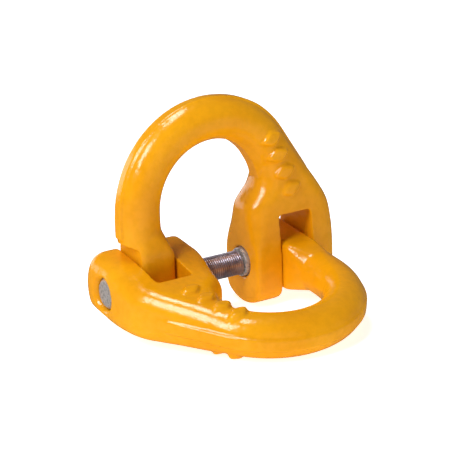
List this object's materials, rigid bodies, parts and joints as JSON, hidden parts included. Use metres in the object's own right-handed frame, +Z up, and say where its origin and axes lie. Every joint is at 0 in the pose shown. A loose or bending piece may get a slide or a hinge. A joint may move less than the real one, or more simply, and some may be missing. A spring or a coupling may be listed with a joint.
{
  "type": "chain coupling link",
  "caption": "Folding coupling link for lifting chain: identical forged bow halves, each with a fork and a tongue, turning on a load pin with a locking coil.",
  "frame": {"origin": "middle of the footprint, on the surface that the link stands on", "axes": "+X along the load pin, from the lower half's fork towards the upper half's fork; -Y out along the lower half's bow; +Z up, along the upper half's bow"},
  "size_m": [0.09, 0.078, 0.0784],
  "materials": {
    "enamel": "gloss orange-yellow baked enamel over a drop forging",
    "pin_steel": "ground and plated, dull on the end faces",
    "coil_wire": "drawn spring wire, faintly tinted"
  },
  "bodies": {
    "lower_half": {"lower_half": "enamel"},
    "upper_half": {"upper_half": "enamel"},
    "coil": {"locking_coil": "coil_wire"},
    "pin": {"load_pin": "pin_steel"}
  },
  "joints": [
    {"name": "fold", "type": "hinge", "parent": "lower_half", "child": "upper_half", "pos_m": [0, 0.02341, 0.0156], "axis": [1, 0, 0], "range_deg": [-193, 27]},
    {"name": "pin_drive", "type": "slide", "parent": "lower_half", "child": "coil", "axis": [1, 0, 0], "range_m": [-0.09, 0.09]},
    {"name": "pin_turn", "type": "hinge", "parent": "coil", "child": "pin", "pos_m": [0, 0.02341, 0.0156], "axis": [1, 0, 0], "continuous": true}
  ]
}
